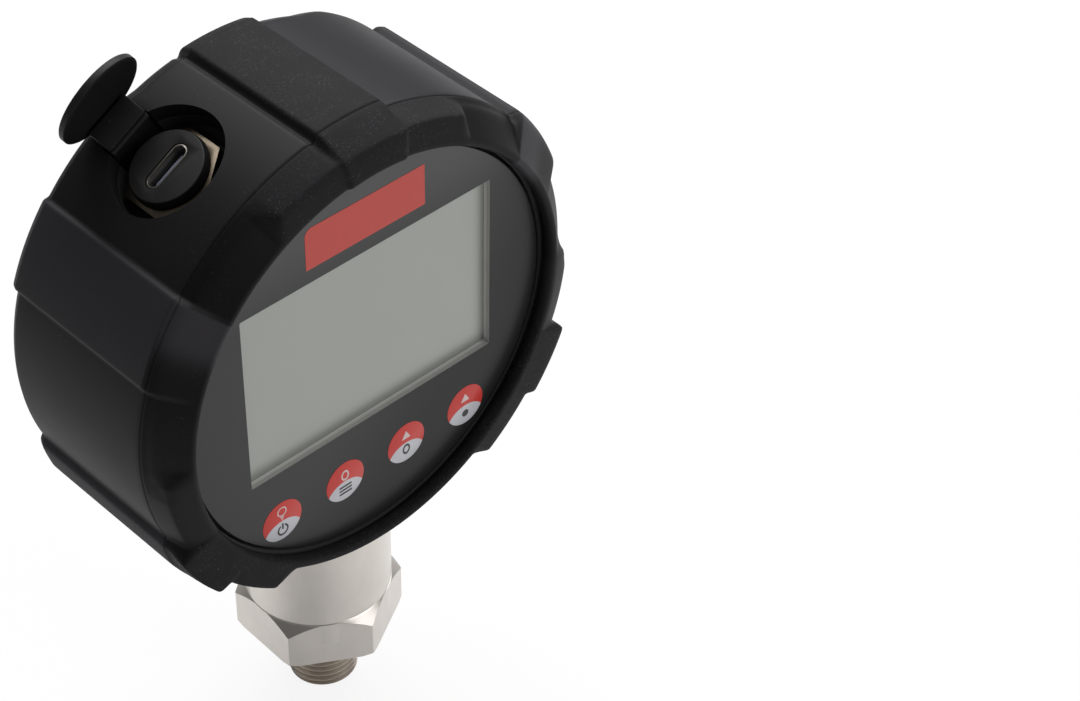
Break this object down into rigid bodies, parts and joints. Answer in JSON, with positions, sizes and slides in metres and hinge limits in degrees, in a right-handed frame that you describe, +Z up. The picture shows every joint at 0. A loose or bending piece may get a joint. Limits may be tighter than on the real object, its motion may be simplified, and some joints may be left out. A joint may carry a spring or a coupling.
{
  "type": "digital pressure gauge",
  "caption": "Round digital pressure gauge in a ribbed rubber boot, with a glossy keypad and display front, an open capped side port and a threaded hexagon stem below.",
  "frame": {"origin": "on the stem's axis, in the plane under its hexagon where the thread begins", "axes": "+Z up along the stem to the dial, -Y out of the dial towards the reader, +X to the reader's right"},
  "size_m": [0.0894, 0.0413, 0.1449],
  "materials": {
    "boot_rubber": "black moulded rubber with a fine grain, satin where the mould is smooth",
    "case_plastic": "black moulded plastic",
    "seal_rubber": "black seal rubber",
    "clear_panel": "glossy dark grey overlay, printed on its back",
    "display_glass": "grey-green display glass",
    "frame_plastic": "white moulded plastic",
    "light_guide": "clear white light guide",
    "board_laminate": "green circuit board",
    "switch_plastic": "black moulded plastic",
    "battery_foil": "silver battery foil",
    "stainless": "turned stainless steel, satin",
    "plated_steel": "plated steel",
    "nickel_brass": "nickel-plated brass, warm grey",
    "port_plastic": "black moulded plastic"
  },
  "bodies": {
    "gauge": {"backlight_panel": "light_guide", "battery_pack": "battery_foil", "battery_tray": "switch_plastic", "board_screw_1": "plated_steel", "board_screw_2": "plated_steel", "board_screw_3": "plated_steel", "board_screw_4": "plated_steel", "cap_ring": "boot_rubber", "case_body": "case_plastic", "cover_gasket": "seal_rubber", "display_frame": "frame_plastic", "display_panel": "display_glass", "key_switch_1": "switch_plastic", "key_switch_2": "switch_plastic", "key_switch_3": "switch_plastic", "key_switch_4": "switch_plastic", "lens_gasket": "seal_rubber", "lens_panel": "clear_panel", "main_board": "board_laminate", "port_body": "nickel_brass", "port_face": "port_plastic", "port_nut": "nickel_brass", "port_shell": "plated_steel", "port_tongue": "port_plastic", "pressure_stem": "stainless", "rear_cover": "case_plastic", "rear_screw_1": "plated_steel", "rear_screw_2": "plated_steel", "rear_screw_3": "plated_steel", "rear_screw_4": "plated_steel", "rubber_boot": "boot_rubber", "sensor_cell": "stainless", "sensor_retainer": "plated_steel", "sensor_seal": "seal_rubber", "stem_nut": "plated_steel", "stem_seal": "seal_rubber"},
    "strap": {"cap_strap": "boot_rubber"},
    "cap": {"port_cap": "boot_rubber"}
  },
  "joints": [
    {"name": "strap_fold", "type": "hinge", "parent": "gauge", "child": "strap", "pos_m": [-0.02228, 0.0134, 0.11461], "axis": [0.8695, 0, 0.4939], "range_deg": [0, 155]},
    {"name": "cap_tilt", "type": "hinge", "parent": "strap", "child": "cap", "pos_m": [-0.02348, 0.01662, 0.11674], "axis": [0.8695, 0, 0.4939], "range_deg": [-90, 0]}
  ],
  "couplings": [
    {"joint": "cap_tilt", "follows": "strap_fold", "ratio": -0.58064}
  ]
}
